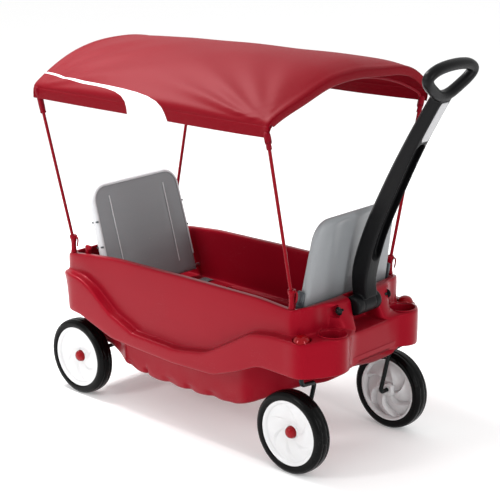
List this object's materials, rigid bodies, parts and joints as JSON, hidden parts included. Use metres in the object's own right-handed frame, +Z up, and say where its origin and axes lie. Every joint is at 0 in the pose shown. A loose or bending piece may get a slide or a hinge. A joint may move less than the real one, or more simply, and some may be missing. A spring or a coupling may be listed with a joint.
{
  "type": "canopy wagon with pull handle",
  "caption": "Moulded two-seat wagon with facing folding seats, front casters, a curved pull handle and a lift-off canopy on splayed poles.",
  "frame": {"origin": "centre of the overall length and width, on the ground plane under the wheels", "axes": "+X forwards to the pull handle, +Y to the wagon's left, +Z up"},
  "size_m": [1.3264, 0.649, 1.1458],
  "materials": {
    "red_body": "semi-gloss moulded",
    "red_tub": "moulded",
    "grey_seat": "satin moulded",
    "dark_latch": "satin",
    "black_plastic": "fine texture",
    "label_silver": "brushed film",
    "black_steel": "gloss powder coat",
    "zinc": "zinc plated",
    "tyre_black": "semi-gloss",
    "rim_white": "satin",
    "red_cap": "gloss",
    "nylon_bush": "plain",
    "red_pole": "gloss paint",
    "red_fitting": "gloss",
    "bow_rod": "fibre rod",
    "canopy_fabric": "woven nylon",
    "webbing": "woven strap"
  },
  "bodies": {
    "body": {"body_shell": "red_body", "inner_tub": "red_tub", "front_seat_pins": "zinc", "rear_seat_pins": "zinc", "rear_seat_stops": "red_body", "front_lap_belt": "webbing", "rear_lap_belt": "webbing", "front_belt_buckle": "black_plastic", "rear_belt_buckle": "black_plastic", "handle_bolt": "black_steel", "handle_nut": "black_steel", "rear_axle": "black_steel", "axle_brackets": "black_plastic", "kingpin_bush_left": "nylon_bush", "push_nut_rear_left": "zinc", "kingpin_bush_right": "nylon_bush", "push_nut_rear_right": "zinc"},
    "pull_handle": {"handle": "black_plastic", "handle_label": "label_silver"},
    "front_seat": {"front_seat_back": "grey_seat", "front_seat_latches": "dark_latch"},
    "rear_seat": {"rear_seat_back": "grey_seat"},
    "canopy_frame": {"front_bow": "bow_rod", "rear_bow": "bow_rod", "canopy": "canopy_fabric", "pole_front_left": "red_pole", "fitting_front_left": "red_fitting", "pole_rear_left": "red_pole", "fitting_rear_left": "red_fitting", "pole_front_right": "red_pole", "fitting_front_right": "red_fitting", "pole_rear_right": "red_pole", "fitting_rear_right": "red_fitting"},
    "caster_left": {"caster_rod_left": "black_steel", "kingpin_cap_left": "red_cap", "push_nut_front_left": "zinc"},
    "wheel_front_left": {"tyre_front_left": "tyre_black", "rim_front_left": "rim_white", "hub_cap_front_left": "red_cap"},
    "wheel_rear_left": {"tyre_rear_left": "tyre_black", "rim_rear_left": "rim_white", "hub_cap_rear_left": "red_cap"},
    "caster_right": {"caster_rod_right": "black_steel", "kingpin_cap_right": "red_cap", "push_nut_front_right": "zinc"},
    "wheel_front_right": {"tyre_front_right": "tyre_black", "rim_front_right": "rim_white", "hub_cap_front_right": "red_cap"},
    "wheel_rear_right": {"tyre_rear_right": "tyre_black", "rim_rear_right": "rim_white", "hub_cap_rear_right": "red_cap"}
  },
  "joints": [
    {"name": "handle_pivot", "type": "hinge", "parent": "body", "child": "pull_handle", "pos_m": [0.3783, 0, 0.448], "axis": [0, 1, 0], "range_deg": [0, 95]},
    {"name": "front_seat_fold", "type": "hinge", "parent": "body", "child": "front_seat", "pos_m": [0.2853, 0, 0.335], "axis": [0, 1, 0], "range_deg": [-99.5, 0]},
    {"name": "rear_seat_fold", "type": "hinge", "parent": "body", "child": "rear_seat", "pos_m": [-0.4517, 0, 0.335], "axis": [0, 1, 0], "range_deg": [0, 106]},
    {"name": "canopy_lift", "type": "slide", "parent": "body", "child": "canopy_frame", "axis": [0, 0, 1], "range_m": [0, 0.12]},
    {"name": "caster_swivel_left", "type": "hinge", "parent": "body", "child": "caster_left", "pos_m": [0.3513, 0.224, 0.3], "axis": [0, 0, 1], "range_deg": [-35, 35]},
    {"name": "wheel_spin_front_left", "type": "hinge", "parent": "caster_left", "child": "wheel_front_left", "pos_m": [0.3163, 0.216, 0.1175], "axis": [0, 1, 0], "continuous": true},
    {"name": "wheel_spin_rear_left", "type": "hinge", "parent": "body", "child": "wheel_rear_left", "pos_m": [-0.5457, 0.216, 0.1175], "axis": [0, 1, 0], "continuous": true},
    {"name": "caster_swivel_right", "type": "hinge", "parent": "body", "child": "caster_right", "pos_m": [0.3513, -0.224, 0.3], "axis": [0, 0, 1], "range_deg": [-35, 35]},
    {"name": "wheel_spin_front_right", "type": "hinge", "parent": "caster_right", "child": "wheel_front_right", "pos_m": [0.3163, -0.216, 0.1175], "axis": [0, 1, 0], "continuous": true},
    {"name": "wheel_spin_rear_right", "type": "hinge", "parent": "body", "child": "wheel_rear_right", "pos_m": [-0.5457, -0.216, 0.1175], "axis": [0, 1, 0], "continuous": true}
  ]
}
